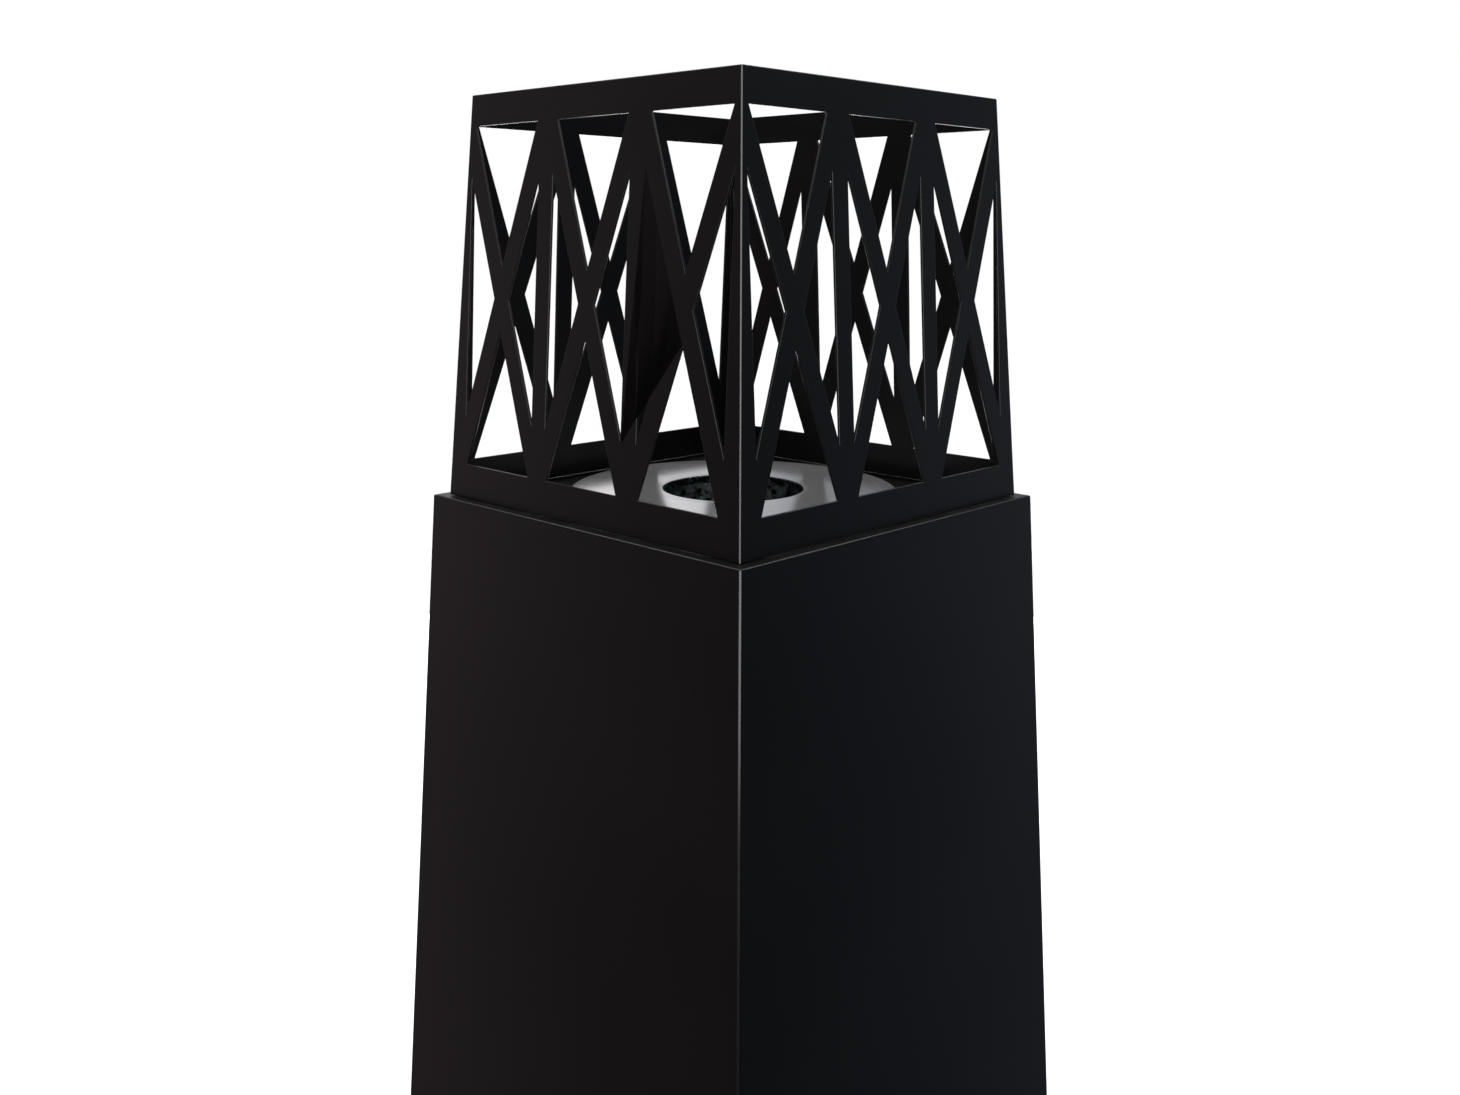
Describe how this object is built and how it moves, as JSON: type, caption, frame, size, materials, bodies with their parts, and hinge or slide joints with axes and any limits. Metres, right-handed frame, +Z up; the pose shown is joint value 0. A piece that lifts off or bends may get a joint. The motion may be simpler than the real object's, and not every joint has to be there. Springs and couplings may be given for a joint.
{
  "type": "outdoor heater",
  "caption": "Free-standing outdoor heater: a tapered square column of folded black sheet with a round steel burner on top, inside an open lattice lantern.",
  "frame": {"origin": "on the ground under the middle of the column", "axes": "+Z up; the door, ash drawer and air slide face +Y; the four faces look along -Y, +X, +Y and -X"},
  "size_m": [0.4478, 0.4478, 1.2027],
  "materials": {
    "black_powder_coat": "satin black powder coat",
    "brushed_stainless": "brushed stainless steel, lightly heat marked",
    "heat_worn_steel": "heat-darkened steel",
    "zinc_plated_sheet": "zinc-plated sheet",
    "blackened_fittings": "blackened steel",
    "foot_rubber": "matte moulded rubber"
  },
  "bodies": {
    "column": {"base_plate": "zinc_plated_sheet", "burner_shelf": "zinc_plated_sheet", "corner_angle_left": "zinc_plated_sheet", "corner_angle_right": "zinc_plated_sheet", "drawer_runner_left": "zinc_plated_sheet", "drawer_runner_right": "zinc_plated_sheet", "foot_back": "foot_rubber", "foot_bolt_back": "zinc_plated_sheet", "foot_bolt_front": "zinc_plated_sheet", "foot_bolt_left": "zinc_plated_sheet", "foot_bolt_right": "zinc_plated_sheet", "foot_front": "foot_rubber", "foot_left": "foot_rubber", "foot_right": "foot_rubber", "front_shell": "black_powder_coat", "heat_shield": "zinc_plated_sheet", "hinge_frame_leaf_lower": "blackened_fittings", "hinge_frame_leaf_upper": "blackened_fittings", "hinge_pin_lower": "blackened_fittings", "hinge_pin_upper": "blackened_fittings", "latch_strike": "blackened_fittings", "locating_lug_back": "black_powder_coat", "locating_lug_front": "black_powder_coat", "locating_lug_left": "black_powder_coat", "locating_lug_right": "black_powder_coat", "rear_shell": "black_powder_coat", "slide_guide_lower": "zinc_plated_sheet", "slide_guide_upper": "zinc_plated_sheet", "top_plate": "black_powder_coat"},
    "lantern": {"lantern_bracket_bottom_left": "black_powder_coat", "lantern_bracket_bottom_right": "black_powder_coat", "lantern_bracket_top_left": "black_powder_coat", "lantern_bracket_top_right": "black_powder_coat", "lantern_front_panel": "black_powder_coat", "lantern_rear_panel": "black_powder_coat", "lantern_screw_bottom_left": "blackened_fittings", "lantern_screw_bottom_right": "blackened_fittings", "lantern_screw_top_left": "blackened_fittings", "lantern_screw_top_right": "blackened_fittings"},
    "burner": {"air_jacket": "heat_worn_steel", "burner_disc": "brushed_stainless", "burner_grate": "heat_worn_steel", "fire_tube": "heat_worn_steel"},
    "drawer": {"ash_tray": "zinc_plated_sheet", "drawer_front": "black_powder_coat", "drawer_pull": "blackened_fittings"},
    "door": {"door_panel": "black_powder_coat", "hinge_door_leaf_lower": "blackened_fittings", "hinge_door_leaf_upper": "blackened_fittings"},
    "latch": {"latch_cam": "blackened_fittings", "latch_knob": "black_powder_coat"},
    "air_slide": {"slide_knob": "black_powder_coat", "slide_plate": "zinc_plated_sheet"}
  },
  "joints": [
    {"name": "lantern_lift", "type": "slide", "parent": "column", "child": "lantern", "axis": [0, 0, 1], "range_m": [0, 0.12]},
    {"name": "burner_lift", "type": "slide", "parent": "column", "child": "burner", "axis": [0, 0, 1], "range_m": [0, 0.26]},
    {"name": "drawer_slide", "type": "slide", "parent": "column", "child": "drawer", "axis": [0, 1, 0], "range_m": [0, 0.18]},
    {"name": "door_hinge", "type": "hinge", "parent": "column", "child": "door", "pos_m": [0.12075, 0.2101, 0.32534], "axis": [0, 0.0614, -0.9981], "range_deg": [0, 110]},
    {"name": "latch_turn", "type": "hinge", "parent": "door", "child": "latch", "pos_m": [-0.095, 0.20461, 0.325], "axis": [0, 0.9981, 0.0614], "range_deg": [0, 90]},
    {"name": "air_slide_travel", "type": "slide", "parent": "column", "child": "air_slide", "axis": [-1, 0, 0], "range_m": [0, 0.01]}
  ]
}
